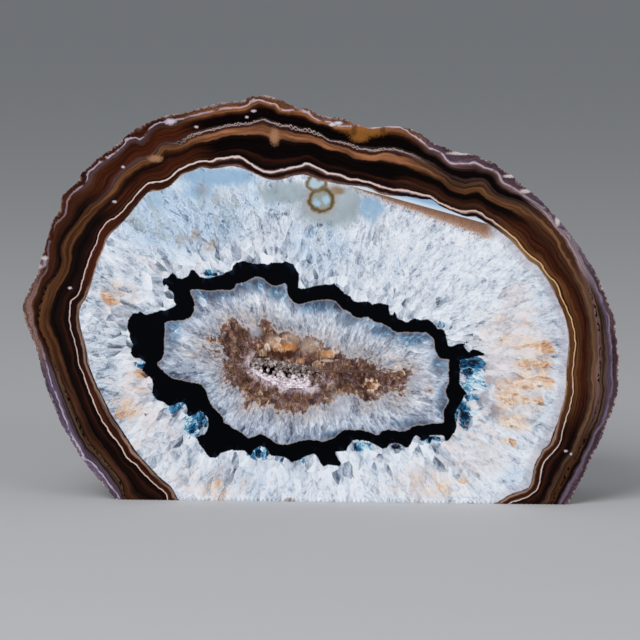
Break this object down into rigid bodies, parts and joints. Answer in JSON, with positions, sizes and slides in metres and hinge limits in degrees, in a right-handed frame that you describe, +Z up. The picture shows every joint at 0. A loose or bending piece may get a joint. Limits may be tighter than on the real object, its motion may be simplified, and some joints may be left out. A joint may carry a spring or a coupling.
{
  "type": "agate slice",
  "caption": "Thick slice of a banded agate nodule with a quartz heart and a small crystal-lined hollow, sawn flat below so that it stands for display.",
  "frame": {"origin": "centre of the sawn base on the surface that it stands on", "axes": "+X along the slice's width, towards the right as the polished front is seen; +Y from the polished front to the sawn back; +Z up"},
  "size_m": [0.1494, 0.03, 0.102],
  "materials": {
    "banded_agate": "polished on the front, sawn on the back and base, rough brown rind between",
    "drusy_quartz": "small sparkling quartz points"
  },
  "bodies": {
    "root": {"agate_slice": "banded_agate", "quartz_crust": "drusy_quartz"}
  },
  "joints": []
}
